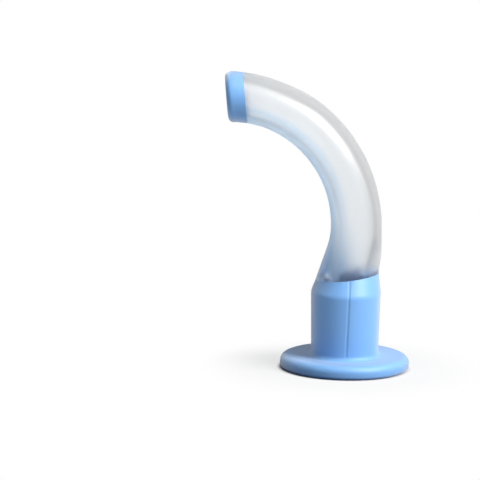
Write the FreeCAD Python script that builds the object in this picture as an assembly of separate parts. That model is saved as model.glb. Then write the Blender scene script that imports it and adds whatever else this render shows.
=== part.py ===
import FreeCAD, Part
import math
import os

# Oropharyngeal airway of the 50 mm size, in millimetres and degrees.
# The origin is the centre of the flange's underside. +Z runs up the bite block,
# and the tube curves over towards -X, in the plane y = 0.
# "Length" is always measured in that plane and "width" across it.

# Flange
flange_length = 23.0
flange_width = 26.6
flange_thickness = 2.4
rim_top_round = 1.25
rim_foot_round = 0.6
lip_width = 1.0
dish_depth = 0.8
dish_corner_round = 0.4

# Two-step mouth in the middle of the dish
funnel_length = 9.9
funnel_width = 15.0
funnel_depth = 1.1
funnel_taper = 1.1
inlet_rim = 0.3

# Bite block
block_foot_length = 12.0
block_foot_width = 15.8
block_top_length = 12.4
block_top_width = 16.4
block_top_height = 13.7
block_foot_round = 0.9
block_draft_start = 4.2
shoulder_round = 0.8

# Curved tube: its convex line is one arc, its concave line another that
# bends below the curve into a straight slant down to the block
convex_radius = 28.15
convex_centre_x = -22.0
convex_centre_height = 24.7
convex_turn = 87.5
concave_radius = 18.5
concave_centre_x = -21.4
concave_centre_height = 25.35
concave_turn = 85.4
slant_bend_radius = 12.0
slant_angle = 18.3
tube_width = 13.3
tube_wall = 1.4

# Tip
tip_swell = 0.2
tip_swell_start = 0.8
tip_draw = 0.3
tip_draw_start = 0.58
tip_draw_end = 0.8
tip_end_length = 1.4
tip_outer_round = 1.0
tip_inner_round = 0.35
tip_band_length = 3.25
tongue_length = 1.6
tongue_wall = 0.65

# Rigid tube inside the block, and the edge of the blue above the block
spigot_length = 8.7
spigot_rebate = 0.35
spigot_foot_height = 2.6
blue_edge_height = 16.45
blue_edge_lean = 7.5
waist_reach = 5.85
waist_share = 0.5

# Blue strip through the concave wall, from the block to the tip
strip_width = 2.45
strip_proud = 0.4
strip_foot_height = 8.0
strip_flare = 1.1

# End radius of the ovals as a share of half their length
flange_end_share = 0.9
block_end_share = 0.95
tube_end_share = 0.88

# Number of sections in the lofts, and the size of the cutting bodies
block_sections = 3
slant_sections = 4
curve_sections = 8
cutter_size = 80.0
edge_samples = 8
tolerance = 0.01


def at(x, y, z):
    return FreeCAD.Vector(x, y, z)


def direction(turn):
    """Unit vector in the plane of the curve, turned up from +X."""
    return at(math.cos(math.radians(turn)), 0, math.sin(math.radians(turn)))


def ease(share):
    """Smooth rise from 0 to 1."""
    share = min(max(share, 0.0), 1.0)
    return share * share * (3 - 2 * share)


def blend(start, end, share):
    return start + (end - start) * ease(share)


# Ovals of four tangent arcs. A section is an inner point, an outer point, a width and an end share.

def oval(section, growth=0.0):
    """Closed oval on a section, offset outwards by the growth."""
    inner, outer, width, end_share = section
    along = outer - inner
    half_length = along.Length / 2
    along.normalize()
    across = at(0, 1, 0)
    middle = (inner + outer) * 0.5
    end_radius = end_share * half_length
    end_shift = width / 2 - end_radius
    side_radius = (half_length ** 2 + end_shift ** 2 - end_radius ** 2) / (2 * (half_length - end_radius))
    side_shift = side_radius - half_length
    span = math.hypot(side_shift, end_shift)
    corner_along = along * (side_shift / span * (end_radius + growth))
    corner_across = across * (end_shift + end_shift / span * (end_radius + growth))
    side = along * (half_length + growth)
    end = across * (width / 2 + growth)
    near, far = corner_across - corner_along, corner_across + corner_along
    arcs = [Part.Arc(middle + far, middle + end, middle + near),
            Part.Arc(middle + near, middle - side, middle - far),
            Part.Arc(middle - far, middle - end, middle - near),
            Part.Arc(middle - near, middle + side, middle + far)]
    return Part.Wire([arc.toShape() for arc in arcs])


def level_section(length, width, height, end_share):
    return at(-length / 2, 0, height), at(length / 2, 0, height), width, end_share


def moved(section, shift):
    inner, outer, width, end_share = section
    return inner + shift, outer + shift, width, end_share


def plug(section, reach, growth=0.0):
    """Straight solid from a section along a vector."""
    return Part.Face(oval(section, growth)).extrude(reach)


def lofted(sections, growth=0.0):
    return Part.makeLoft([oval(section, growth) for section in sections], True, False)


def half_space(origin, normal):
    """Large solid on one side of a plane, the side that the normal points to."""
    disc = Part.Face(Part.Wire(Part.makeCircle(cutter_size, origin, normal)))
    return disc.extrude(normal * cutter_size)


def round_edges(shape, origin, normal, width, radius):
    """Round the edges that lie in a plane and reach no further sideways than the width."""
    found = []
    for edge in shape.Edges:
        spots = edge.discretize(edge_samples)
        in_plane = all(abs((spot - origin).dot(normal)) < tolerance for spot in spots)
        if in_plane and max(abs(spot.y) for spot in spots) < width / 2 + tolerance:
            found.append(edge)
    return shape.makeFillet(radius, found)


def round_level(shape, height, width, radius):
    return round_edges(shape, at(0, 0, height), at(0, 0, 1), width, radius)


# Sections of the tube

def concave_point(height):
    """Point of the concave line at a height below the curve."""
    drop = concave_centre_height - height
    bend_drop = slant_bend_radius * math.sin(math.radians(slant_angle))
    if drop < bend_drop:
        shift = slant_bend_radius - math.sqrt(slant_bend_radius ** 2 - drop ** 2)
    else:
        shift = slant_bend_radius * (1 - math.cos(math.radians(slant_angle)))
        shift += (drop - bend_drop) * math.tan(math.radians(slant_angle))
    return at(concave_centre_x + concave_radius - shift, 0, height)


def slant_heights(inner_foot, outer_foot):
    """Share of the way up and the two end heights of each section below the curve."""
    heights = []
    for i in range(slant_sections):
        share = i / slant_sections
        inner_height = inner_foot + (concave_centre_height - inner_foot) * share
        outer_height = outer_foot + (convex_centre_height - outer_foot) * share
        heights.append((share, inner_height, outer_height))
    return heights


def curve_section(share, swell=0.0):
    """Section of the curve at a share of the way to the tip. Towards the tip it is drawn in
    on the convex side, and swollen on the concave side."""
    inner = at(concave_centre_x, 0, concave_centre_height)
    inner += direction(concave_turn * share) * concave_radius
    draw = tip_draw * ease((share - tip_draw_start) / (tip_draw_end - tip_draw_start))
    outer = at(convex_centre_x, 0, convex_centre_height)
    outer += direction(convex_turn * share) * (convex_radius - draw)
    rise = swell * ease((share - tip_swell_start) / (1 - tip_swell_start))
    return inner + (inner - outer).normalize() * rise, outer, tube_width, tube_end_share


def curve_run(swell=0.0):
    return [curve_section(i / (curve_sections - 1), swell) for i in range(curve_sections)]


def waist():
    """Section in the plane of the blue's edge, where the collar above the block meets the tube."""
    origin, normal = blue_edge_plane()
    start = concave_point(blue_edge_height)
    slant = direction(90 - slant_angle)
    inner = start + slant * ((origin - start).dot(normal) / slant.dot(normal))
    return inner, origin + direction(blue_edge_lean) * waist_reach, tube_width, tube_end_share


def outer_sections():
    """Sections of the tube's outside, from the waist to the tip's end."""
    waist_inner, waist_outer, width, end_share = waist()
    sections = []
    for share, inner_height, outer_height in slant_heights(waist_inner.z, waist_outer.z):
        outer_x = blend(waist_outer.x, convex_centre_x + convex_radius, share / waist_share)
        sections.append((concave_point(inner_height), at(outer_x, 0, outer_height), width, end_share))
    return sections + curve_run(tip_swell)


def rigid_sections():
    """Outside of the rigid tube, which is straight in the block. Its lumen is drawn in by the wall."""
    sections = []
    for i in range(block_sections):
        height = block_top_height * i / block_sections
        sections.append(level_section(spigot_length, tube_width, height, tube_end_share))
    for share, inner_height, outer_height in slant_heights(block_top_height, block_top_height):
        inner_x = blend(-spigot_length / 2, concave_centre_x + concave_radius, share)
        outer_x = blend(spigot_length / 2, convex_centre_x + convex_radius, share)
        sections.append((at(inner_x, 0, inner_height), at(outer_x, 0, outer_height),
                         tube_width, tube_end_share))
    return sections + curve_run()


# Planes that end the tube and part the two colours

def tip_plane(back):
    """Origin and outward normal of the plane at a distance behind the tip's face."""
    inner, outer, width, end_share = curve_section(1)
    along = outer - inner
    normal = at(-along.z, 0, along.x)
    normal.normalize()
    return (inner + outer) * 0.5 + normal * (tip_end_length - back), normal


def blue_edge_plane():
    """Origin and upward normal of the plane where the blue ends above the block."""
    return at(0, 0, blue_edge_height), direction(90 + blue_edge_lean)


# Outside of the whole airway

def flange():
    """Flat plate with a rounded rim, and a dish below it."""
    thickness = at(0, 0, flange_thickness)
    foot = level_section(flange_length, flange_width, 0, flange_end_share)
    plate = round_level(plug(foot, thickness), flange_thickness, flange_width, rim_top_round)
    plate = round_level(plate, 0, flange_width, rim_foot_round)
    dish = plug(foot, at(0, 0, dish_depth), -lip_width)
    return plate.cut(round_level(dish, dish_depth, flange_width, dish_corner_round))


def block_on_flange():
    """Flange with the bite block, the hollow round at its foot, its draft and its collar."""
    foot = level_section(block_foot_length, block_foot_width, flange_thickness, block_end_share)
    draft_foot = moved(foot, at(0, 0, block_draft_start - flange_thickness))
    top = level_section(block_top_length, block_top_width, block_top_height, block_end_share)
    base = flange().fuse(plug(foot, at(0, 0, block_draft_start - flange_thickness)))
    base = round_level(base, flange_thickness, block_foot_width, block_foot_round)
    block = Part.makeLoft([oval(draft_foot), oval(top)], True, True)
    block = block.fuse(Part.makeLoft([oval(top), oval(waist())], True, True))
    return base.fuse(round_level(block, block_top_height, block_top_width, shoulder_round))


def tip_end():
    """Last straight piece of the tip, with its rounds inside and outside."""
    origin, normal = tip_plane(0)
    ring = plug(outer_sections()[-1], normal * tip_end_length)
    ring = round_edges(ring, origin, normal, tube_width, tip_outer_round)
    ring = ring.cut(plug(rigid_sections()[-1], normal * tip_end_length, -tube_wall))
    return round_edges(ring, origin, normal, tube_width - 2 * tube_wall, tip_inner_round)


def mouth():
    """Funnel in the dish floor and the hole that leads on to the rigid tube."""
    funnel_top = dish_depth + funnel_depth
    lip = level_section(funnel_length, funnel_width, dish_depth, tube_end_share)
    throat = level_section(funnel_length - 2 * funnel_taper, funnel_width - 2 * funnel_taper,
                           funnel_top, tube_end_share)
    hole = level_section(spigot_length, tube_width, dish_depth, tube_end_share)
    hole = plug(hole, at(0, 0, spigot_foot_height - dish_depth), inlet_rim - tube_wall)
    return Part.makeLoft([oval(lip), oval(throat)], True, True).fuse(hole)


# Blue strip

def strip_flare_at(origin, rise, out):
    """Widening of the strip where it runs into the blue, with a hollow round on each side."""
    across = at(0, 1, 0)
    half_width = strip_width / 2 + strip_flare
    corner = origin - across * half_width
    outline = [corner, corner + across * 2 * half_width]
    outline += [spot + rise * strip_flare for spot in reversed(outline)]
    web = Part.Face(Part.makePolygon(outline + [corner])).extrude(out * tube_width)
    for spot in outline[2:]:
        circle = Part.makeCircle(strip_flare, spot, out)
        web = web.cut(Part.Face(Part.Wire(circle)).extrude(out * tube_width))
    return web


def strip_zone():
    """Slab on the concave side of the tube's middle, as wide as the strip, with its flares."""
    middle = [(section[0] + section[1]) * 0.5 for section in rigid_sections()]
    middle = [spot for spot in middle if spot.z > strip_foot_height]
    curve = Part.BSplineCurve()
    curve.interpolate(middle)
    hollow = at(concave_centre_x, 0, middle[0].z)
    outline = [curve.toShape(), Part.makeLine(middle[-1], hollow), Part.makeLine(hollow, middle[0])]
    slab = Part.Face(Part.Wire(outline)).extrude(at(0, strip_width, 0))
    slab.translate(at(0, -strip_width / 2, 0))
    edge_origin, edge_normal = blue_edge_plane()
    band_origin, band_normal = tip_plane(tip_band_length)
    across = at(0, 1, 0)
    block_flare = strip_flare_at(edge_origin, edge_normal, edge_normal.cross(across))
    tip_flare = strip_flare_at(band_origin, band_normal * -1, band_normal.cross(across))
    return slab.cut(half_space(band_origin, band_normal)).fuse([block_flare, tip_flare])


# The two pieces

def airway_tube(outside, strip, lumen):
    """Rigid translucent tube, with its spigot in the block and its tongue in the tip."""
    edge_origin, edge_normal = blue_edge_plane()
    band_origin, band_normal = tip_plane(tip_band_length)
    above_edge = half_space(edge_origin, edge_normal)
    past_band = half_space(band_origin, band_normal)
    shaft = outside.common(above_edge).cut(past_band)
    spigot = lofted(rigid_sections(), -spigot_rebate).cut(above_edge)
    spigot = spigot.cut(half_space(at(0, 0, spigot_foot_height), at(0, 0, -1)))
    tongue = lofted(rigid_sections(), tongue_wall - tube_wall).common(past_band)
    tongue = tongue.cut(half_space(*tip_plane(tip_band_length - tongue_length)))
    return shaft.fuse([spigot, tongue]).cut(lumen).cut(strip)


def soft_overmould(outside, tube, strip, lumen):
    """Flange, block sleeve, strip and tip, moulded round the tube as one piece."""
    raised = []
    for inner, outer, width, end_share in rigid_sections():
        along = (outer - inner).normalize()
        raised.append((inner + along * strip_proud, outer, width, end_share))
    ridge = lumen.common(strip).cut(lofted(raised, -tube_wall))
    body = outside.cut(tube).cut(lumen.cut(ridge)).cut(mouth())
    return body.fuse(tip_end())


outside = block_on_flange().fuse(lofted(outer_sections()))
lumen = lofted(rigid_sections(), -tube_wall)
strip = strip_zone()
tube = airway_tube(outside, strip, lumen)
soft = soft_overmould(outside, tube, strip, lumen)

os.makedirs("parts", exist_ok=True)
for name, shape in (("airway_tube", tube), ("soft_overmould", soft)):
    print(name, shape.isValid(), len(shape.Solids), round(shape.Volume, 1))
    shape.exportStep("parts/" + name + ".step")
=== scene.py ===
import math

import bpy
import numpy as np
from mathutils import Matrix, Vector


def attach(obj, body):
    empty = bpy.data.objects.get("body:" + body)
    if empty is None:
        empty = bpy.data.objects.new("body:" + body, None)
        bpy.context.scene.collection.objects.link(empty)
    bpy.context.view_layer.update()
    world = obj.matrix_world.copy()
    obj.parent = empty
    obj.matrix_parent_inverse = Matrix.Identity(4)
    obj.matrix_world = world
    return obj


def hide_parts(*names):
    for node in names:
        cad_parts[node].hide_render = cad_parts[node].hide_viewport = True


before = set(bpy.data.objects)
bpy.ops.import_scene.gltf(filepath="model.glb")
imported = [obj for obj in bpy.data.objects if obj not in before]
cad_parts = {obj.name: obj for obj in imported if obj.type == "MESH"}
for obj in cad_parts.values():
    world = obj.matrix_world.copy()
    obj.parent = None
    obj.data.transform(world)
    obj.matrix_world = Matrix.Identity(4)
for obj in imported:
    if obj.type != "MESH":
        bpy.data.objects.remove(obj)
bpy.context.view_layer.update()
print("frame loaded")

# The sizes of the pieces are in millimetres, and meshes are scaled to metres when they are made.
airwayTube = {
    "convexRadius": 28.15, "convexCentre": (-22.0, 24.7), "convexTurn": 87.5,
    "concaveRadius": 18.5, "concaveCentre": (-21.4, 25.35), "concaveTurn": 85.4,
    "slantBendRadius": 12.0, "slantAngle": 18.3,
    "width": 13.3, "wall": 1.4, "spigotLength": 8.7, "spigotRebate": 0.35, "footHeight": 2.6,
    "endShare": 0.88, "tongueWall": 0.65, "tongueLength": 1.6,
}
biteBlock = {
    "footLength": 12.0, "footWidth": 15.8, "topLength": 12.4, "topWidth": 16.4,
    "draftStart": 4.2, "topHeight": 13.7, "footRound": 0.9, "shoulderCut": 0.5,
    "endShare": 0.95, "edgeHeight": 16.45, "edgeLean": 7.5, "waistReach": 5.85,
    "waistShare": 0.5,
}
softTip = {
    "swell": 0.2, "swellStart": 0.8, "draw": 0.3, "drawStart": 0.58, "drawEnd": 0.8,
    "endLength": 1.4, "outerRound": 1.0, "innerRound": 0.35, "bandLength": 3.25,
}
meshRows = {
    "spigot": 24, "shaft": 170, "tongue": 6, "stripFoot": 30, "stripShaft": 220,
    "funnel": 6, "funnelRound": 6, "smallRound": 4, "dishRound": 7, "footRound": 8, "topRound": 16,
    "blockFoot": 10, "draft": 30, "shoulder": 9, "collar": 8, "pocket": 8,
    "band": 18, "tipOuterRound": 14, "tipInnerRound": 9, "tipLumen": 10, "tipPocket": 5,
}
skinGap = 0.006  # how far the visible outside stays within the CAD surface
flangeGap = 0.01  # the same for the flange's outline
bond = 0.02  # how far the blue reaches into the clear wall, so that no air film shows between them

metre = 0.001
across = np.array([0.0, 1.0, 0.0])
upwards = (0.0, 0.0, 1.0)
waistSpan, tipSpan = (0.5, 2.5), (2.0, 3.0)  # path values between which a plane is met
shaftGather, stripFootGather = 0.6, 0.5  # how far rows are drawn towards their ends
pathStep = 0.0015  # path gap between the tube's runs on the lumen side
searchSteps = 40
ringSamples = 4001
ringEven = 0.65  # how much the ring's spacing follows its length; the rest follows the angle


def turned(degrees):
    # Direction in the plane of the curve: (cos a, 0, sin a).
    a = np.radians(np.asarray(degrees, float))
    return np.stack([np.cos(a), np.zeros_like(a), np.sin(a)], -1)


def ease(share):
    # Smooth step: 3 s^2 - 2 s^3, with s held between 0 and 1.
    s = np.clip(share, 0.0, 1.0)
    return s * s * (3 - 2 * s)


def blend(start, end, share):
    return start + (end - start) * ease(share)


def planePoint(x, z):
    x, z = np.broadcast_arrays(np.asarray(x, float), np.asarray(z, float))
    return np.stack([x, np.zeros_like(x), z], -1)


# Ovals: four tangent arcs, two at the ends and two along the sides

def ovalPoints(section, growth, normalTurn):
    # Point = centre of its arc + (radius + growth) * outward normal, where the normal's angle t is the
    # parameter. End radius r = share * a, side radius R = (a^2 + (b - r)^2 - r^2) / (2 (a - r)).
    inner, outer, width, endShare = section
    along = outer - inner
    halfLength = np.linalg.norm(along, axis=-1) / 2
    along = along / (2 * halfLength[..., None])
    endRadius = endShare * halfLength
    endShift = width / 2 - endRadius
    sideRadius = (halfLength ** 2 + endShift ** 2 - endRadius ** 2) / (2 * (halfLength - endRadius))
    sideShift = sideRadius - halfLength
    cosine, sine = np.cos(normalTurn), np.sin(normalTurn)
    onSide = np.abs(sine) * sideShift < np.abs(cosine) * endShift
    radius = np.where(onSide, sideRadius, endRadius) + growth
    u = np.where(onSide, -np.sign(cosine) * sideShift, 0.0) + radius * cosine
    v = np.where(onSide, 0.0, np.sign(sine) * endShift) + radius * sine
    return (inner + outer) / 2 + u[..., None] * along + v[..., None] * across


def levelOval(length, width, height, endShare, growth, normalTurn):
    # Oval with its centre on the block's axis, at one height.
    half = np.full(normalTurn.shape, length / 2)
    section = (planePoint(-half, height), planePoint(half, height), width, endShare)
    return ovalPoints(section, growth, normalTurn)


def ringTurns(count):
    # Normal angles spaced so that their points lie about evenly round the tube.
    fine = np.linspace(-math.pi, math.pi, ringSamples)
    half = np.full(fine.shape, airwayTube["spigotLength"] / 2)
    section = (planePoint(-half, 0), planePoint(half, 0), airwayTube["width"], airwayTube["endShare"])
    points = ovalPoints(section, 0.0, fine)
    steps = np.linalg.norm(np.diff(points, axis=0), axis=-1)
    steps = ringEven * steps / steps.sum() + (1 - ringEven) / len(steps)
    travelled = np.concatenate([[0.0], np.cumsum(steps)])
    return np.interp(np.linspace(0, 1, count + 1), travelled, fine)


# The tube's path: q runs 0 to 1 up the block, 1 to 2 up the slant and 2 to 3 round the curve

def concaveLine(height):
    # Straight slant, then an arc that turns it upright: x = x0 - (r - sqrt(r^2 - d^2)), d the drop.
    t = airwayTube
    drop = np.maximum(t["concaveCentre"][1] - height, 0.0)
    bendDrop = t["slantBendRadius"] * math.sin(math.radians(t["slantAngle"]))
    bent = t["slantBendRadius"] - np.sqrt(t["slantBendRadius"] ** 2 - np.minimum(drop, bendDrop) ** 2)
    straight = np.maximum(drop - bendDrop, 0.0) * math.tan(math.radians(t["slantAngle"]))
    return t["concaveCentre"][0] + t["concaveRadius"] - bent - straight


def curveEnds(q):
    # Inner and outer end points, centre + radius * direction on each arc. Towards the tip the
    # convex one is drawn in.
    t, p = airwayTube, softTip
    share = np.clip(q - 2, 0.0, 1.0)
    inner = planePoint(*t["concaveCentre"]) + turned(t["concaveTurn"] * share) * t["concaveRadius"]
    draw = p["draw"] * ease((share - p["drawStart"]) / (p["drawEnd"] - p["drawStart"]))
    outer = planePoint(*t["convexCentre"])
    outer = outer + turned(t["convexTurn"] * share) * (t["convexRadius"] - draw)[..., None]
    return inner, outer, share


def slantEnds(q, innerFoot, outerFoot):
    # Inner and outer heights, both going linearly from the foot's to the start of the arcs.
    rise = np.clip(q - 1, 0.0, 1.0)
    innerHeight = innerFoot + (airwayTube["concaveCentre"][1] - innerFoot) * rise
    outerHeight = outerFoot + (airwayTube["convexCentre"][1] - outerFoot) * rise
    return rise, innerHeight, outerHeight


def rigidSection(q):
    # Outside of the rigid tube: straight in the block, blended over the slant, then the two arcs.
    t, top = airwayTube, biteBlock["topHeight"]
    inner, outer, share = curveEnds(q)
    rise, innerHeight, outerHeight = slantEnds(q, top, top)
    half = t["spigotLength"] / 2
    lower = q < 1
    innerX = blend(-half, t["concaveCentre"][0] + t["concaveRadius"], rise)
    outerX = blend(half, t["convexCentre"][0] + t["convexRadius"], rise)
    slantInner = planePoint(innerX, np.where(lower, top * q, innerHeight))
    slantOuter = planePoint(outerX, np.where(lower, top * q, outerHeight))
    curved = (q > 2)[..., None]
    inner, outer = np.where(curved, inner, slantInner), np.where(curved, outer, slantOuter)
    return inner, outer, t["width"], t["endShare"]


def waist():
    # Section in the plane of the blue's edge: the concave line's crossing and a reach the other way.
    origin, normal = bluePlane()
    low, high = 0.0, airwayTube["concaveCentre"][1]
    for _ in range(searchSteps):
        middle = (low + high) / 2
        past = (planePoint(concaveLine(middle), middle) - origin) @ normal > 0
        low, high = (low, middle) if past else (middle, high)
    reach = turned(biteBlock["edgeLean"]) * biteBlock["waistReach"]
    return planePoint(concaveLine(high), high), origin + reach


def outerSection(q):
    # Outside above the blue's edge: from the waist to the tip, swollen inside the bend near its end.
    t, p = airwayTube, softTip
    waistInner, waistOuter = waist()
    inner, outer, share = curveEnds(q)
    rise, innerHeight, outerHeight = slantEnds(q, waistInner[2], waistOuter[2])
    convexX = t["convexCentre"][0] + t["convexRadius"]
    outerX = blend(waistOuter[0], convexX, rise / biteBlock["waistShare"])
    swell = p["swell"] * ease((share - p["swellStart"]) / (1 - p["swellStart"]))
    along = inner - outer
    along = along / np.linalg.norm(along, axis=-1)[..., None]
    curved = (q > 2)[..., None]
    concave = planePoint(concaveLine(innerHeight), innerHeight)
    inner = np.where(curved, inner + along * swell[..., None], concave) - along * skinGap
    outer = np.where(curved, outer, planePoint(outerX, outerHeight)) + along * skinGap
    return inner, outer, t["width"] - 2 * skinGap, t["endShare"]


def tipPlane(back):
    # Plane a distance behind the tip's face: its origin and its outward normal.
    inner, outer, width, endShare = rigidSection(np.array([3.0]))
    along = (outer - inner)[0]
    normal = np.array([-along[2], 0.0, along[0]]) / np.linalg.norm(along)
    return (inner + outer)[0] / 2 + normal * (softTip["endLength"] - back), normal


def bluePlane(lower=0.0):
    normal = turned(90 + biteBlock["edgeLean"])
    return np.array([0.0, 0.0, biteBlock["edgeHeight"]]) - normal * lower, normal


def meetPlane(sectionAt, growth, normalTurn, plane, span):
    # Path value q where each lengthwise line of the surface crosses a plane, by halving the range.
    origin, normal = plane
    low, high = (np.full(normalTurn.shape, end) for end in span)
    for _ in range(searchSteps):
        middle = (low + high) / 2
        past = (ovalPoints(sectionAt(middle), growth, normalTurn) - origin) @ normal > 0
        low, high = np.where(past, low, middle), np.where(past, middle, high)
    return (low + high) / 2


def rowsBetween(start, end, count, gather=0.0):
    # Rows from one q to another, drawn towards both ends by the gather share g: the even share s
    # becomes (1 - g) s + g (1 - cos pi s) / 2.
    s = np.linspace(0, 1, count)
    s = (1 - gather) * s + gather * (1 - np.cos(math.pi * s)) / 2
    start, end = np.broadcast_arrays(start, end)
    return start + (end - start) * s[:, None]


# Meshes from grids of points

def signedVolume(points, faces):
    # Sum over triangles of a . (b x c) / 6.
    a, b, c, d = (points[faces[:, k]] for k in range(4))
    return sum(np.einsum("ij,ij->i", a, np.cross(*pair)).sum() for pair in ((b, c), (c, d))) / 6


def meshFromGrid(name, grid, wrapRows=False, caps=False, smoothAngle=38):
    # Rows of points, each row a closed loop. Caps fold the first and last loops flat onto themselves.
    rows, cols = grid.shape[:2]
    index = np.arange(rows * cols).reshape(rows, cols)
    near = index if wrapRows else index[:-1]
    far = np.roll(index, -1, 0) if wrapRows else index[1:]
    nearNext, farNext = np.roll(near, -1, 1), np.roll(far, -1, 1)
    faces = [np.stack([near, nearNext, farNext, far], -1).reshape(-1, 4)]
    if caps:
        half = cols // 2
        for loop, flip in ((index[0], False), (index[-1], True)):
            front, back = loop[:half], loop[half:][::-1]
            cap = np.stack([front[:-1], back[:-1], back[1:], front[1:]], -1)
            faces.append(cap[:, ::-1] if flip else cap)
    faces = np.concatenate(faces)
    points = grid.reshape(-1, 3)
    if signedVolume(points, faces) < 0:
        faces = faces[:, ::-1]
    mesh = bpy.data.meshes.new(name)
    mesh.vertices.add(len(points))
    mesh.vertices.foreach_set("co", (points * metre).astype(np.float32).ravel())
    mesh.loops.add(faces.size)
    mesh.loops.foreach_set("vertex_index", faces.astype(np.int32).ravel())
    mesh.polygons.add(len(faces))
    mesh.polygons.foreach_set("loop_start", np.arange(0, faces.size, 4, dtype=np.int32))
    mesh.update(calc_edges=True)
    mesh.validate()
    mesh.shade_smooth()
    mesh.set_sharp_from_angle(angle=math.radians(smoothAngle))
    piece = bpy.data.objects.new(name, mesh)
    bpy.context.scene.collection.objects.link(piece)
    return piece


def finishPiece(piece, node, material):
    piece.data.materials.append(material)
    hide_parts(node)
    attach(piece, "root")
    print(piece.name, len(piece.data.polygons), "faces")


# Strip through the concave side of the tube

blueStrip = {
    "width": 2.45, "proud": 0.4, "crownPower": 6, "footHeight": 8.0, "flare": 1.1,
    "outsideGap": 0.004, "edgeReach": 0.4, "edgeStep": 0.002, "bandReach": 0.3, "footEase": 0.5,
    "slotFootEase": 0.3, "slotLeast": 0.002,
}


def stripHalfWidth(points):
    # Half width on a row, plus R - sqrt(R^2 - d^2) where it runs into the blue at each end, with the
    # flare R and d what is left of it there.
    s = blueStrip
    half = np.full(points.shape[:-1], s["width"] / 2)
    origin, normal = bluePlane()
    bandOrigin, bandNormal = tipPlane(softTip["bandLength"])
    for distance in ((points - origin) @ normal, (bandOrigin - points) @ bandNormal):
        short = s["flare"] - np.clip(distance, 0.0, s["flare"])
        half = half + s["flare"] - np.sqrt(s["flare"] ** 2 - short ** 2)
    return half


def slotTurn(section, growth, halfWidth):
    # Angle from the concave middle at which the side arc is as far out as the strip's half width:
    # arcsin(half width / radius of the side).
    inner, outer, width, endShare = section
    halfLength = np.linalg.norm(outer - inner, axis=-1) / 2
    endRadius = endShare * halfLength
    endShift = width / 2 - endRadius
    sideRadius = (halfLength ** 2 + endShift ** 2 - endRadius ** 2) / (2 * (halfLength - endRadius))
    return np.arcsin(halfWidth / (sideRadius + growth))


# Clear tube: a C-shaped wall, with a slot for the strip, from the spigot's foot to the tongue

def tubeGrid(count=180):
    # Each row is a closed loop: the outside's oval at q, with its angles spread from one edge of the
    # slot to the other, and back along the lumen's oval, which is a wall further in.
    t = airwayTube
    turns = ringTurns(count)
    spread = turns / math.pi
    wall = -t["wall"]
    tongue = t["tongueWall"] - t["wall"]
    footQ = t["footHeight"] / biteBlock["topHeight"]
    edge = bluePlane()
    band = tipPlane(softTip["bandLength"] - bond)
    tongueEnd = tipPlane(softTip["bandLength"] - t["tongueLength"])
    edgeLumen = meetPlane(rigidSection, wall, turns, edge, waistSpan)
    bandLumen = meetPlane(rigidSection, wall, turns, band, tipSpan)
    endLumen = meetPlane(rigidSection, wall, turns, tongueEnd, tipSpan)
    spigot = -t["spigotRebate"]
    spigotTop = meetPlane(rigidSection, spigot, turns, edge, waistSpan)
    bandOuter = meetPlane(outerSection, 0.0, turns, band, tipSpan)
    bandTongue = meetPlane(rigidSection, tongue, turns, band, tipSpan)
    endTongue = meetPlane(rigidSection, tongue, turns, tongueEnd, tipSpan)
    runs = [
        (rigidSection, spigot, rowsBetween(footQ, spigotTop, meshRows["spigot"]),
         rowsBetween(footQ, edgeLumen - pathStep, meshRows["spigot"])),
        (outerSection, 0.0, rowsBetween(1.0, bandOuter, meshRows["shaft"], shaftGather),
         rowsBetween(edgeLumen, bandLumen, meshRows["shaft"], shaftGather)),
        (rigidSection, tongue, rowsBetween(bandTongue, endTongue, meshRows["tongue"]),
         rowsBetween(bandLumen + pathStep, endLumen, meshRows["tongue"])),
    ]
    loops = []
    for sectionAt, growth, outerQ, lumenQ in runs:
        middleLine = ovalPoints(sectionAt(outerQ[:, :1]), growth, np.array([math.pi]))
        half = stripHalfWidth(middleLine)
        rise = ease((middleLine[..., 2] - blueStrip["footHeight"]) / blueStrip["slotFootEase"])
        half = np.maximum(half * rise, blueStrip["slotLeast"])
        skins = []
        for section, thick, q in ((sectionAt, growth, outerQ), (rigidSection, wall, lumenQ)):
            edgeTurn = slotTurn(section(q[:, :1]), thick, half)
            skins.append(ovalPoints(section(q), thick, spread * (math.pi - edgeTurn)))
        loops.append(np.concatenate([skins[0], skins[1][:, ::-1]], 1))
    return np.concatenate(loops)


# Strip: fills the slot and stands proud inside the lumen

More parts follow.
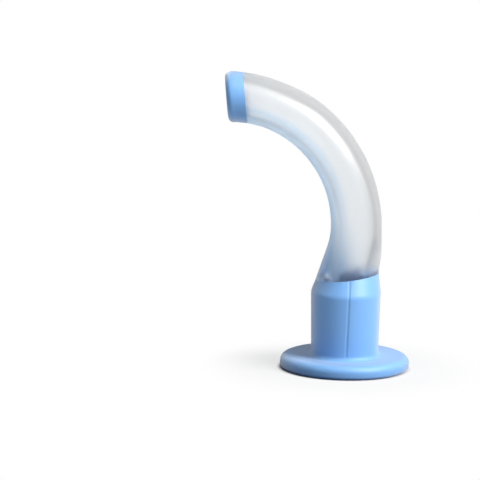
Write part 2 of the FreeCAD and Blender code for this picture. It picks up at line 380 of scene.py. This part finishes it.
def stripGrid(count=24):
    # Each row is a closed loop: the outside over the slot's angles, and back along the lumen side,
    # raised by proud * sqrt(1 - n^power), where n is the distance from the middle in half widths.
    t, s = airwayTube, blueStrip
    spread = np.linspace(-1, 1, count)
    middle = np.array([math.pi])
    footQ = s["footHeight"] / biteBlock["topHeight"]
    innerEdge, band = bluePlane(s["edgeReach"]), tipPlane(softTip["bandLength"] - s["bandReach"])
    innerEdgeQ = meetPlane(rigidSection, 0.0, middle, innerEdge, waistSpan)
    bandQ = meetPlane(outerSection, 0.0, middle, band, tipSpan)
    footEndQ = innerEdgeQ - s["edgeStep"]
    runs = [(rigidSection, rowsBetween(footQ, footEndQ, meshRows["stripFoot"], stripFootGather)),
            (outerSection, rowsBetween(1.0, bandQ, meshRows["stripShaft"], shaftGather))]
    loops = []
    for sectionAt, q in runs:
        half = stripHalfWidth(ovalPoints(sectionAt(q), 0.0, middle)) + bond
        edgeTurn = slotTurn(sectionAt(q), 0.0, half)
        outside = ovalPoints(sectionAt(q), -s["outsideGap"], math.pi + spread * edgeTurn)
        edgeTurn = slotTurn(rigidSection(q), -t["wall"], half)
        inside = ovalPoints(rigidSection(q), -t["wall"], math.pi + spread * edgeTurn)
        inner, outer, width, endShare = rigidSection(q)
        along = (outer - inner) / np.linalg.norm(outer - inner, axis=-1)[..., None]
        narrow = np.clip(np.abs(inside[..., 1]) / (s["width"] / 2 + bond), 0.0, 1.0)
        rise = s["proud"] * np.sqrt(1 - narrow ** s["crownPower"])
        rise = rise * ease((inside[..., 2] - s["footHeight"]) / s["footEase"])
        inside = inside + along * (rise - bond)[..., None]
        loops.append(np.concatenate([outside, inside[:, ::-1]], 1))
    return np.concatenate(loops)


# Blue base: flange, bite block and the band above it, as one closed profile carried round the ovals

mouthFlange = {
    "length": 23.0, "width": 26.6, "thickness": 2.4, "endShare": 0.9,
    "topRound": 1.25, "footRound": 0.6, "lipWidth": 1.0, "lipRound": 0.1,
    "dishDepth": 0.8, "dishRound": 0.4,
    "funnelLength": 9.9, "funnelWidth": 15.0, "funnelDepth": 1.1, "funnelTaper": 1.1,
    "funnelRound": 0.12, "funnelRoundStart": 40, "holeRound": 0.1, "inletRim": 0.3,
}
partingLine = {
    "place": -0.14, "lean": 0.03, "halfWidth": 0.34, "depth": 0.07, "foot": 2.9, "footEase": 0.5,
    "closeSpan": (-0.6, 1.4), "closeCount": 34, "closeGap": 0.04,
    # shade is how far the colour is darkened along the groove, a painted shade; shadeCore and
    # shadeEdge give its span.
    "shade": 0.86, "shadeCore": 0.1, "shadeEdge": 0.3,
}
# Offsets of the extra rows on the flats, and the shares of the straight runs that have rows.
baseRows = {
    "lip": 1.0, "dish": 1.5, "flat": 0.5,
    "funnel": (0.08, 0.9), "draft": (0.0, 0.94), "collar": (0.15, 1.0),
}


def arcSteps(count, start, end):
    # Evenly spaced angles in radians, from ends in degrees.
    return np.radians(np.linspace(start, end, count))


def lineTurns(turns):
    # The ring's angles, with close ones where the parting line runs, found by x = reach * cos t.
    line = partingLine
    reach = biteBlock["endShare"] * biteBlock["footLength"] / 2
    start, end = line["closeSpan"]
    close = np.arccos(np.linspace(start, end, line["closeCount"]) / reach)
    away = np.cos(turns) * reach
    kept = turns[(away < start - line["closeGap"]) | (away > end + line["closeGap"])]
    return np.sort(np.concatenate([kept, close, -close]))


def withLine(points):
    # Parting line on both sides: a groove of depth d (1 - u^2)^2, u its distance in half widths.
    line = partingLine
    height = points[..., 2]
    u = (points[..., 0] - line["lean"] * height - line["place"]) / line["halfWidth"]
    depth = line["depth"] * np.maximum(1 - u * u, 0.0) ** 2
    depth = depth * ease((height - line["foot"]) / line["footEase"])
    grooved = points.copy()
    grooved[..., 1] -= np.sign(points[..., 1]) * depth
    return grooved


def baseGrid(count=224):
    # The rows go once round the profile, from the hole over the funnel, dish, rim and flange to the
    # block, collar and spigot's pocket. Up to the block each is a level oval with its own growth.
    t, b, m = airwayTube, biteBlock, mouthFlange
    turns = lineTurns(ringTurns(count)[:-1])
    rows = []

    def level(size, height, growth=0.0):
        rows.append(levelOval(size[0], size[1], height, size[2], growth, turns)[None])

    def rounded(size, radius, centreHeight, centreGrowth, start, end, count):
        # Quarter circle in the profile: growth = g + r cos a, height = h + r sin a.
        for a in arcSteps(count, start, end):
            level(size, centreHeight + radius * math.sin(a), centreGrowth + radius * math.cos(a))

    def between(first, last, share):
        return [first[k] + (last[k] - first[k]) * share for k in range(3)]

    # Hole and funnel
    tube = (t["spigotLength"], t["width"], t["endShare"])
    lip = (m["funnelLength"], m["funnelWidth"], t["endShare"])
    throat = (lip[0] - 2 * m["funnelTaper"], lip[1] - 2 * m["funnelTaper"], t["endShare"])
    funnelTop = m["dishDepth"] + m["funnelDepth"]
    hole, bend = m["inletRim"] - t["wall"], m["holeRound"]
    level(tube, t["footHeight"], hole)
    rounded(tube, bend, funnelTop + bend, hole + bend, 180, 270, meshRows["smallRound"])
    level(throat, funnelTop, -bend)
    level(throat, funnelTop, 0.0)
    for share in np.linspace(*baseRows["funnel"], meshRows["funnel"]):
        level(between(throat, lip, share), funnelTop - m["funnelDepth"] * share)
    for a in arcSteps(meshRows["funnelRound"], m["funnelRoundStart"], 90):
        rise, out = m["funnelRound"] * (1 - math.sin(a)), m["funnelRound"] * (1 - math.cos(a))
        level(lip, m["dishDepth"] + rise, out)
    # Dish, lip and rim
    flange = (m["length"] - 2 * flangeGap, m["width"] - 2 * flangeGap, m["endShare"])
    dish, lipEdge, foot, top = m["dishRound"], m["lipRound"], m["footRound"], m["topRound"]
    level(lip, m["dishDepth"], baseRows["lip"])
    level(flange, m["dishDepth"], -m["lipWidth"] - dish - baseRows["dish"])
    rounded(flange, dish, m["dishDepth"] - dish, -m["lipWidth"] - dish, 90, 0, meshRows["dishRound"])
    rounded(flange, lipEdge, lipEdge, -m["lipWidth"] + lipEdge, 180, 270, meshRows["smallRound"])
    rounded(flange, foot, foot, -foot, -90, 0, meshRows["footRound"])
    rounded(flange, top, m["thickness"] - top, -top, 0, 90, meshRows["topRound"])
    # Block, with its foot round and its draft
    blockFoot = (b["footLength"], b["footWidth"], b["endShare"])
    blockTop = (b["topLength"], b["topWidth"], b["endShare"])
    level(flange, m["thickness"], -top - baseRows["flat"])
    level(blockFoot, m["thickness"], b["footRound"] + baseRows["flat"])
    plainRows = len(rows)
    rounded(blockFoot, b["footRound"], m["thickness"] + b["footRound"], b["footRound"], 270, 180,
            meshRows["blockFoot"])
    draft = b["topHeight"] - b["draftStart"]
    for share in np.linspace(*baseRows["draft"], meshRows["draft"]):
        level(between(blockFoot, blockTop, share), b["draftStart"] + draft * share)
    # Collar: straight lines from the block's top to the waist, its corner cut by a parabola.
    shoulder = levelOval(*blockTop[:2], b["topHeight"], blockTop[2], 0.0, turns)
    below = levelOval(*blockFoot[:2], b["draftStart"], blockFoot[2], 0.0, turns)
    edge = ovalPoints(outerSection(np.full(turns.shape, 1.0)), 0.0, turns)
    start = shoulder + (below - shoulder) * b["shoulderCut"] / draft
    cut = b["shoulderCut"] / np.linalg.norm(edge - shoulder, axis=-1)
    end = shoulder + (edge - shoulder) * cut[:, None]
    for s in np.linspace(0, 1, meshRows["shoulder"]):
        rows.append((start * (1 - s) ** 2 + shoulder * 2 * s * (1 - s) + end * s * s)[None])
    collar = np.linspace(*baseRows["collar"], meshRows["collar"])
    rows.append(end + (edge - end) * collar[:, None, None])
    rows[plainRows:] = [withLine(np.concatenate(rows[plainRows:]))]
    # Pocket that holds the spigot
    inset = -t["spigotRebate"] - bond
    spigotTop = meetPlane(rigidSection, inset, turns, bluePlane(), waistSpan)
    spigotQ = rowsBetween(spigotTop, t["footHeight"] / b["topHeight"], meshRows["pocket"])
    rows.append(ovalPoints(rigidSection(spigotQ), inset, turns))
    return np.concatenate(rows)


# Blue tip: band, rounded end and the pocket that grips the tongue

def tipGrid(count=224):
    # Each row is an oval of the tube at q or, at the rounded end, the last oval moved ahead by
    # straight + r sin a and grown by r (cos a - 1) outside and r (1 - cos a) inside.
    t, p = airwayTube, softTip
    turns = ringTurns(count)[:-1]
    wall = -t["wall"]
    tongue = t["tongueWall"] - t["wall"] - bond
    band = tipPlane(p["bandLength"])
    tongueEnd = tipPlane(p["bandLength"] - t["tongueLength"])
    origin, normal = tipPlane(p["endLength"])
    full = np.full(turns.shape, 3.0)
    bandOuter = meetPlane(outerSection, 0.0, turns, band, tipSpan)
    bandTongue = meetPlane(rigidSection, tongue, turns, band, tipSpan)
    endTongue = meetPlane(rigidSection, tongue, turns, tongueEnd, tipSpan)
    endLumen = meetPlane(rigidSection, wall, turns, tongueEnd, tipSpan)
    rows = []

    def along(sectionAt, growth, start, end, count):
        rows.append(ovalPoints(sectionAt(rowsBetween(start, end, count)), growth, turns))

    def ahead(sectionAt, distance, growth):
        rows.append((ovalPoints(sectionAt(full), growth, turns) + normal * distance)[None])

    along(outerSection, 0.0, bandOuter, 3.0, meshRows["band"])
    radius = p["outerRound"]
    straight = p["endLength"] - radius - skinGap
    for a in arcSteps(meshRows["tipOuterRound"], 0, 90):
        ahead(outerSection, straight + radius * math.sin(a), radius * (math.cos(a) - 1))
    radius = p["innerRound"]
    straight = p["endLength"] - radius - skinGap
    for a in arcSteps(meshRows["tipInnerRound"], 90, 0):
        ahead(rigidSection, straight + radius * math.sin(a), wall + radius * (1 - math.cos(a)))
    along(rigidSection, wall, 3.0, endLumen, meshRows["tipLumen"])
    along(rigidSection, tongue, endTongue, bandTongue, meshRows["tipPocket"])
    return np.concatenate(rows)


# Shader groups

def socket(group, name, direction, kind, value=None):
    made = group.interface.new_socket(name=name, in_out=direction, socket_type=kind)
    if value is not None:
        made.default_value = value
    return made


def node(tree, kind, place, **settings):
    made = tree.nodes.new(kind)
    made.location = place
    for key, value in settings.items():
        setattr(made, key, value)
    return made


def mouldedSkinGroup():
    # Fine moulded surface: a soft waviness and a fine grain, as a height and a mask.
    group = bpy.data.node_groups.new("mouldedSkin", "ShaderNodeTree")
    socket(group, "Wave Size", "INPUT", "NodeSocketFloat", 300.0)
    socket(group, "Grain Size", "INPUT", "NodeSocketFloat", 4000.0)
    socket(group, "Grain Share", "INPUT", "NodeSocketFloat", 0.2)
    socket(group, "Height", "OUTPUT", "NodeSocketFloat")
    socket(group, "Mottle", "OUTPUT", "NodeSocketFloat")
    inputs = node(group, "NodeGroupInput", (-700, 0))
    outputs = node(group, "NodeGroupOutput", (400, 0))
    coords = node(group, "ShaderNodeTexCoord", (-700, -250))
    wave = node(group, "ShaderNodeTexNoise", (-400, 150))
    wave.inputs["Detail"].default_value = 2.0
    grain = node(group, "ShaderNodeTexNoise", (-400, -150))
    grain.inputs["Detail"].default_value = 3.0
    mix = node(group, "ShaderNodeMix", (100, 0), data_type="FLOAT")
    links = group.links
    links.new(coords.outputs["Object"], wave.inputs["Vector"])
    links.new(coords.outputs["Object"], grain.inputs["Vector"])
    links.new(inputs.outputs["Wave Size"], wave.inputs["Scale"])
    links.new(inputs.outputs["Grain Size"], grain.inputs["Scale"])
    links.new(inputs.outputs["Grain Share"], mix.inputs["Factor"])
    links.new(wave.outputs["Fac"], mix.inputs["A"])
    links.new(grain.outputs["Fac"], mix.inputs["B"])
    links.new(mix.outputs["Result"], outputs.inputs["Height"])
    links.new(wave.outputs["Fac"], outputs.inputs["Mottle"])
    return group


def axisRampGroup():
    # Soft mask along one axis: 0 at Start, 1 at End, in millimetres of Object coordinates.
    group = bpy.data.node_groups.new("axisRamp", "ShaderNodeTree")
    socket(group, "Axis", "INPUT", "NodeSocketVector", (0.0, 0.0, 1.0))
    socket(group, "Start", "INPUT", "NodeSocketFloat", 0.0)
    socket(group, "End", "INPUT", "NodeSocketFloat", 1.0)
    socket(group, "Mask", "OUTPUT", "NodeSocketFloat")
    inputs = node(group, "NodeGroupInput", (-700, 0))
    outputs = node(group, "NodeGroupOutput", (400, 0))
    coords = node(group, "ShaderNodeTexCoord", (-700, -250))
    dot = node(group, "ShaderNodeVectorMath", (-450, 0), operation="DOT_PRODUCT")
    scaled = node(group, "ShaderNodeMath", (-250, 0), operation="MULTIPLY")
    scaled.inputs[1].default_value = 1 / metre
    ramp = node(group, "ShaderNodeMapRange", (100, 0), interpolation_type="SMOOTHSTEP")
    links = group.links
    links.new(coords.outputs["Object"], dot.inputs[0])
    links.new(inputs.outputs["Axis"], dot.inputs[1])
    links.new(dot.outputs["Value"], scaled.inputs[0])
    links.new(scaled.outputs[0], ramp.inputs["Value"])
    links.new(inputs.outputs["Start"], ramp.inputs["From Min"])
    links.new(inputs.outputs["End"], ramp.inputs["From Max"])
    links.new(ramp.outputs["Result"], outputs.inputs["Mask"])
    return group


def axisMask(tree, place, axis, start, end):
    # One use of the ramp group, with its own axis and span.
    ramp = node(tree, "ShaderNodeGroup", place, node_tree=bpy.data.node_groups["axisRamp"])
    ramp.inputs["Axis"].default_value = axis
    ramp.inputs["Start"].default_value = start
    ramp.inputs["End"].default_value = end
    return ramp.outputs["Mask"]


def combined(tree, place, operation, first, second):
    both = node(tree, "ShaderNodeMath", place, operation=operation)
    for k, part in enumerate((first, second)):
        if isinstance(part, float):
            both.inputs[k].default_value = part
        else:
            tree.links.new(part, both.inputs[k])
    return both.outputs[0]


def newMaterial(name):
    material = bpy.data.materials.new(name)
    material.use_nodes = True
    tree = material.node_tree
    return material, tree, tree.nodes["Principled BSDF"]


def surfaceLook(tree, shader, group, look):
    # Colour and roughness drift with the skin's mottle, and its height feeds the bump.
    skin = node(tree, "ShaderNodeGroup", (-650, 0), node_tree=group)
    skin.inputs["Wave Size"].default_value = look["waveSize"]
    skin.inputs["Grain Size"].default_value = look["grainSize"]
    skin.inputs["Grain Share"].default_value = look["grainShare"]
    colour = node(tree, "ShaderNodeMix", (-350, 250), data_type="RGBA")
    colour.inputs["A"].default_value = (*look["colour"], 1)
    colour.inputs["B"].default_value = (*look["colourFar"], 1)
    rough = node(tree, "ShaderNodeMapRange", (-350, 0))
    rough.inputs["To Min"].default_value = look["roughness"] - look["roughnessDrift"]
    rough.inputs["To Max"].default_value = look["roughness"] + look["roughnessDrift"]
    bump = node(tree, "ShaderNodeBump", (-350, -250))
    bump.inputs["Strength"].default_value = look["bumpStrength"]
    bump.inputs["Distance"].default_value = look["bumpDepth"]
    links = tree.links
    links.new(skin.outputs["Mottle"], colour.inputs["Factor"])
    links.new(skin.outputs["Mottle"], rough.inputs["Value"])
    links.new(skin.outputs["Height"], bump.inputs["Height"])
    links.new(rough.outputs["Result"], shader.inputs["Roughness"])
    links.new(bump.outputs["Normal"], shader.inputs["Normal"])
    return colour.outputs["Result"]


def tintWhere(tree, shader, mask, base, colour):
    # Base colour: the second colour where the mask is 1.
    mix = node(tree, "ShaderNodeMix", (-100, 350), data_type="RGBA")
    mix.inputs["B"].default_value = (*colour, 1)
    tree.links.new(mask, mix.inputs["Factor"])
    tree.links.new(base, mix.inputs["A"])
    tree.links.new(mix.outputs["Result"], shader.inputs["Base Color"])


# Looks: the bump's depth and the subsurface scale are in metres, the heights and depths of the
# tube's foot in millimetres.
softBlue = {
    "waveSize": 260.0, "grainSize": 5200.0, "grainShare": 0.35,
    "colour": (0.145, 0.35, 0.70), "colourFar": (0.155, 0.36, 0.72),
    "roughness": 0.5, "roughnessDrift": 0.03, "bumpStrength": 0.15, "bumpDepth": 0.0001,
    "subsurface": 0.12, "subsurfaceScale": 0.0008, "subsurfaceRadius": (0.5, 0.7, 1.0),
    "specular": 0.5, "sheen": 0.8, "sheenRoughness": 0.4,
}
# Painted light: a paler copy of the blue for the strip, standing in for the light that comes through
# the thin strip.
thinBluePaintedLight = {"colour": (0.36, 0.6, 0.87), "colourFar": (0.38, 0.615, 0.88)}  # light comes through it
clearPlastic = {
    "waveSize": 180.0, "grainSize": 3000.0, "grainShare": 0.15,
    "colour": (0.92, 0.94, 0.955), "colourFar": (0.93, 0.948, 0.96),
    "roughness": 0.32, "roughnessDrift": 0.02, "bumpStrength": 0.05, "bumpDepth": 0.0001,
    "transmission": 1.0, "refraction": 1.49,
    # footShadeColour is painted shade: the tint of the wall's foot, for the shade and the blue seen
    # through it.
    "footShadeColour": (0.42, 0.55, 0.71),
    "footHeights": (28.0, 15.0), "footDepths": (3.5, -3.0),
}


def softBlueMaterial(group, name, look):
    material, tree, shader = newMaterial(name)
    base = surfaceLook(tree, shader, group, look)
    # Painted shade: the colour is darkened along the parting line's groove.
    line = partingLine
    along, place = (1.0, 0.0, -line["lean"]), line["place"]
    core, edge = line["shadeCore"], line["shadeEdge"]
    left = axisMask(tree, (-1200, 900), along, place - edge, place - core)
    right = axisMask(tree, (-1200, 700), along, place + edge, place + core)
    above = axisMask(tree, (-1200, 500), upwards, line["foot"], line["foot"] + line["footEase"])
    inside = combined(tree, (-800, 800), "MULTIPLY", left, right)
    groove = combined(tree, (-600, 700), "MULTIPLY", inside, above)
    tintWhere(tree, shader, groove, base, [part * line["shade"] for part in look["colour"]])
    shader.inputs["Subsurface Weight"].default_value = look["subsurface"]
    shader.inputs["Subsurface Scale"].default_value = look["subsurfaceScale"]
    shader.inputs["Subsurface Radius"].default_value = look["subsurfaceRadius"]
    shader.inputs["Specular IOR Level"].default_value = look["specular"]
    shader.inputs["Sheen Weight"].default_value = look["sheen"]
    shader.inputs["Sheen Roughness"].default_value = look["sheenRoughness"]
    return material


def clearPlasticMaterial(group):
    material, tree, shader = newMaterial("clearPlastic")
    base = surfaceLook(tree, shader, group, clearPlastic)
    # Painted shade: the wall's foot, above the block on the concave side, is tinted a deeper grey
    # blue, standing in for the shade and the blue seen through the thick wall there.
    low = axisMask(tree, (-1000, 500), upwards, *clearPlastic["footHeights"])
    inside = axisMask(tree, (-1000, 700), (1.0, 0.0, 0.0), *clearPlastic["footDepths"])
    foot = combined(tree, (-700, 600), "MULTIPLY", low, inside)
    tintWhere(tree, shader, foot, base, clearPlastic["footShadeColour"])
    shader.inputs["Transmission Weight"].default_value = clearPlastic["transmission"]
    shader.inputs["IOR"].default_value = clearPlastic["refraction"]
    return material


skinGroup = mouldedSkinGroup()
axisRampGroup()
blueMaterial = softBlueMaterial(skinGroup, "softBlue", softBlue)
# The strip gets the paler copy of the blue, which is painted light.
stripMaterial = softBlueMaterial(skinGroup, "softBlueThinPaintedLight", softBlue | thinBluePaintedLight)
clearMaterial = clearPlasticMaterial(skinGroup)
print("materials made")

tubePiece = meshFromGrid("clearTube", tubeGrid(), caps=True)
finishPiece(tubePiece, "airway_tube", clearMaterial)
stripPiece = meshFromGrid("blueStripPiece", stripGrid(), caps=True)
finishPiece(stripPiece, "soft_overmould", stripMaterial)
for name, grid in (("blueBase", baseGrid()), ("blueTip", tipGrid())):
    finishPiece(meshFromGrid(name, grid, wrapRows=True), "soft_overmould", blueMaterial)
print("pieces made")


# Floor, light and camera, in metres

studio = {
    "floorColour": (0.53, 0.55, 0.585), "floorRoughness": 0.9, "floorHalf": 6.0,
    "floorReach": (0.0115, 0.0133),
    "clearReach": 0.95,
    # contactShadeColour and contactSpan: a near black patch of floor round the rim, painted shade that
    # all but camera rays see.
    "contactShadeColour": (0.02, 0.03, 0.08), "contactSpan": (1.1, 1.25),
    "rimLift": 0.72, "rimSpan": (0.98, 1.06), "farLift": 0.28, "farSpan": (1.1, 2.4),
    "worldLight": 0.12, "lampColour": (1.0, 0.96, 0.9),
    "keyPlace": (0.265, -0.16, 0.30), "keySize": 0.26, "keyPower": 3.1,
    "topPlace": (-0.01, -0.06, 0.42), "topSize": 0.3, "topPower": 0.6,
    "lampTarget": (0.0, 0.0, 0.02),
}
view = {
    "place": (-0.01897, -0.44605, 0.08211), "target": (-0.01897, 0.0, 0.02259),
    "roll": 0.9206, "lens": 190.2, "sensor": 36.0, "clipStart": 0.01,
}


def cameraRayMask(tree, place):
    # 1 for rays that show the background: camera, glossy and transmission rays.
    path = node(tree, "ShaderNodeLightPath", place).outputs
    right, further = (place[0] + 200, place[1]), (place[0] + 400, place[1])
    first = combined(tree, right, "MAXIMUM", path["Is Camera Ray"], path["Is Glossy Ray"])
    return combined(tree, further, "MAXIMUM", first, path["Is Transmission Ray"])


def ramp(tree, place, value, span, top=1.0):
    # Smooth rise from 0 to the top value over the span.
    step = node(tree, "ShaderNodeMapRange", place, interpolation_type="SMOOTHSTEP")
    step.inputs["From Min"].default_value, step.inputs["From Max"].default_value = span
    step.inputs["To Max"].default_value = top
    tree.links.new(value, step.inputs["Value"])
    return step.outputs["Result"]


def mixedShader(tree, place, factor, first, second):
    mix = node(tree, "ShaderNodeMixShader", place)
    tree.links.new(factor, mix.inputs["Fac"])
    tree.links.new(first, mix.inputs[1])
    tree.links.new(second, mix.inputs[2])
    return mix.outputs[0]


def floorMaterial():
    material, tree, shader = newMaterial("paleFloor")
    shader.inputs["Roughness"].default_value = studio["floorRoughness"]
    shader.inputs["Specular IOR Level"].default_value = 0.0
    glow = node(tree, "ShaderNodeEmission", (0, -300))
    glow.inputs["Color"].default_value = (1, 1, 1, 1)
    glow.inputs["Strength"].default_value = 1.0
    # Distance from the middle of the flange, 1 at its rim.
    coords = node(tree, "ShaderNodeTexCoord", (-1100, 600))
    flat = node(tree, "ShaderNodeMapping", (-900, 600))
    flat.inputs["Scale"].default_value = (*(1 / reach for reach in studio["floorReach"]), 1)
    length = node(tree, "ShaderNodeVectorMath", (-700, 600), operation="LENGTH")
    tree.links.new(coords.outputs["Object"], flat.inputs["Vector"])
    tree.links.new(flat.outputs["Vector"], length.inputs[0])
    distance = length.outputs["Value"]
    # The lift to white is nil under the flange, and grows in two steps away from its rim.
    steps = [ramp(tree, (-500, height), distance, studio[name + "Span"], studio[name + "Lift"])
             for name, height in (("rim", 700), ("far", 450))]
    seen = cameraRayMask(tree, (-1500, 300))
    lift = combined(tree, (0, 200), "MULTIPLY", seen, combined(tree, (-250, 600), "ADD", *steps))
    # Painted shade: round the rim the floor is near black for all but camera rays, so it sends little
    # light back and keeps the contact line dark.
    contact = ramp(tree, (-500, 150), distance, studio["contactSpan"])
    tint = node(tree, "ShaderNodeMix", (-250, 150), data_type="RGBA")
    tint.inputs["A"].default_value = (*studio["contactShadeColour"], 1)
    tint.inputs["B"].default_value = (*studio["floorColour"], 1)
    tree.links.new(combined(tree, (-400, 0), "MAXIMUM", contact, seen), tint.inputs["Factor"])
    tree.links.new(tint.outputs["Result"], shader.inputs["Base Color"])
    lifted = mixedShader(tree, (300, 0), lift, shader.outputs[0], glow.outputs[0])
    # From below, and inside the rim, the floor is clear, so it doesn't hide or darken the underside.
    side = node(tree, "ShaderNodeNewGeometry", (300, 300))
    clear = node(tree, "ShaderNodeBsdfTransparent", (300, -200))
    hidden = combined(tree, (100, 500), "LESS_THAN", distance, studio["clearReach"])
    openness = combined(tree, (450, 400), "MAXIMUM", side.outputs["Backfacing"], hidden)
    surface = mixedShader(tree, (550, 0), openness, lifted, clear.outputs[0])
    tree.links.new(surface, tree.nodes["Material Output"].inputs["Surface"])
    return material


def makeFloor():
    mesh = bpy.data.meshes.new("floor")
    size = studio["floorHalf"]
    corners = [(-size, -size, 0), (size, -size, 0), (size, size, 0), (-size, size, 0)]
    mesh.from_pydata(corners, [], [(0, 1, 2, 3)])
    mesh.materials.append(floorMaterial())
    floor = bpy.data.objects.new("floor", mesh)
    bpy.context.scene.collection.objects.link(floor)


def makeWorld():
    world = bpy.data.worlds.new("studio")
    bpy.context.scene.world = world
    world.use_nodes = True
    tree = world.node_tree
    background = tree.nodes["Background"]
    background.inputs["Color"].default_value = (1, 1, 1, 1)
    level = node(tree, "ShaderNodeMapRange", (-200, 0))
    level.inputs["To Min"].default_value = studio["worldLight"]
    level.inputs["To Max"].default_value = 1.0
    tree.links.new(cameraRayMask(tree, (-900, 0)), level.inputs["Value"])
    tree.links.new(level.outputs["Result"], background.inputs["Strength"])


def aimed(thing, place, target):
    # Turn a lamp or camera so that its -Z looks at the target.
    thing.location = place
    thing.rotation_euler = (Vector(target) - Vector(place)).to_track_quat("-Z", "Y").to_euler()


def makeLamp(name, place, size, power):
    lamp = bpy.data.lights.new(name, "AREA")
    lamp.shape = "DISK"
    lamp.size = size
    lamp.energy = power
    lamp.color = studio["lampColour"]
    thing = bpy.data.objects.new(name, lamp)
    bpy.context.scene.collection.objects.link(thing)
    aimed(thing, place, studio["lampTarget"])


def makeCamera():
    data = bpy.data.cameras.new("camera")
    data.lens = view["lens"]
    data.sensor_width = view["sensor"]
    data.clip_start = view["clipStart"]
    thing = bpy.data.objects.new("camera", data)
    bpy.context.scene.collection.objects.link(thing)
    aimed(thing, view["place"], view["target"])
    thing.rotation_euler = (thing.rotation_euler.to_matrix() @ Matrix.Rotation(
        math.radians(view["roll"]), 3, "Z")).to_euler()
    bpy.context.scene.camera = thing


makeFloor()
makeWorld()
for lamp in ("key", "top"):
    makeLamp(lamp + "Light", studio[lamp + "Place"], studio[lamp + "Size"], studio[lamp + "Power"])
makeCamera()
bpy.context.scene.view_settings.view_transform = "Standard"
print("stage, light and camera made")
